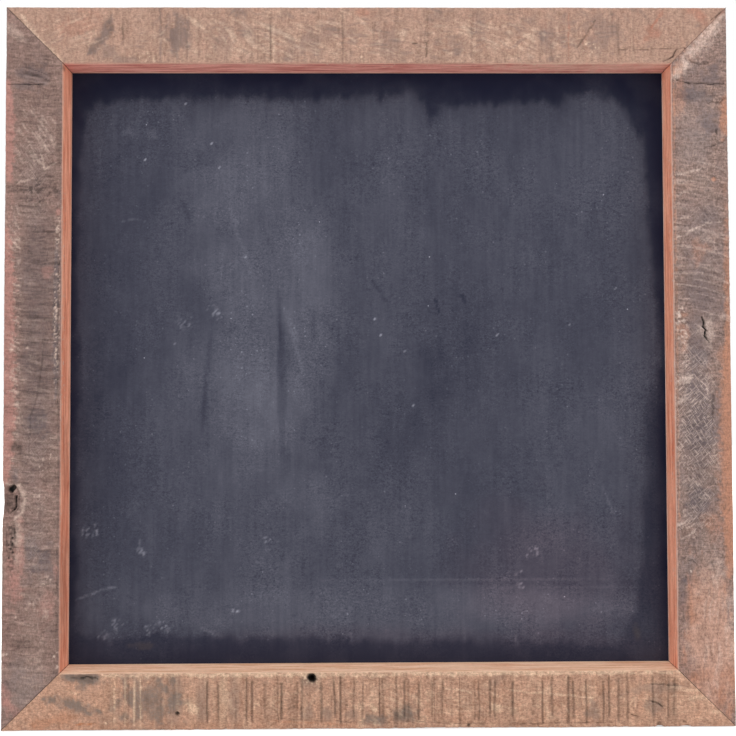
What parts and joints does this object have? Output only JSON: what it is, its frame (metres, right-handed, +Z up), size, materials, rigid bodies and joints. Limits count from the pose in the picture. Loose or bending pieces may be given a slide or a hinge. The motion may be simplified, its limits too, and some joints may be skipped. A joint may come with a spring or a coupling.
{
  "type": "framed chalkboard",
  "caption": "Nearly square chalkboard in a mitred, rabbeted frame of reclaimed hardwood, held by framer's points, with D-ring hangers on the back.",
  "frame": {"origin": "on the wall, midway between the two hangers and level with the pivots of their rings", "axes": "+X to the right as seen from the front, +Y back into the wall, +Z up; the writing face looks along -Y"},
  "size_m": [0.4826, 0.0305, 0.4786],
  "materials": {
    "top_wood": "rough-sawn, weathered pinkish brown with grey bands",
    "right_wood": "rough-sawn, weathered dark grey-brown, orange-brown outer edge",
    "bottom_wood": "rough-sawn, light tan with saw kerfs across it",
    "left_wood": "rough-sawn, weathered brown, reddish outer edge",
    "chalkboard_paint": "hardboard with matte black chalkboard paint under a haze of chalk dust",
    "zinc_steel": "zinc-plated"
  },
  "bodies": {
    "frame": {"top_rail": "top_wood", "right_stile": "right_wood", "bottom_rail": "bottom_wood", "left_stile": "left_wood", "writing_panel": "chalkboard_paint", "wedge_nail_top_right_1": "zinc_steel", "wedge_nail_top_right_2": "zinc_steel", "wedge_nail_bottom_right_1": "zinc_steel", "wedge_nail_bottom_right_2": "zinc_steel", "wedge_nail_bottom_left_1": "zinc_steel", "wedge_nail_bottom_left_2": "zinc_steel", "wedge_nail_top_left_1": "zinc_steel", "wedge_nail_top_left_2": "zinc_steel", "framers_point_top_1": "zinc_steel", "framers_point_top_2": "zinc_steel", "framers_point_top_3": "zinc_steel", "framers_point_right_1": "zinc_steel", "framers_point_right_2": "zinc_steel", "framers_point_right_3": "zinc_steel", "framers_point_bottom_1": "zinc_steel", "framers_point_bottom_2": "zinc_steel", "framers_point_bottom_3": "zinc_steel", "framers_point_left_1": "zinc_steel", "framers_point_left_2": "zinc_steel", "framers_point_left_3": "zinc_steel", "hanger_strap_left": "zinc_steel", "hanger_strap_right": "zinc_steel", "hanger_screw_left": "zinc_steel", "hanger_screw_right": "zinc_steel"},
    "ring_left": {"hanger_ring_left": "zinc_steel"},
    "ring_right": {"hanger_ring_right": "zinc_steel"}
  },
  "joints": [
    {"name": "left_ring_swing", "type": "hinge", "parent": "frame", "child": "ring_left", "pos_m": [-0.2272, -0.0024, 0], "axis": [1, 0, 0], "range_deg": [0, 176.3]},
    {"name": "right_ring_swing", "type": "hinge", "parent": "frame", "child": "ring_right", "pos_m": [0.2272, -0.0024, 0], "axis": [1, 0, 0], "range_deg": [0, 176.3]}
  ]
}
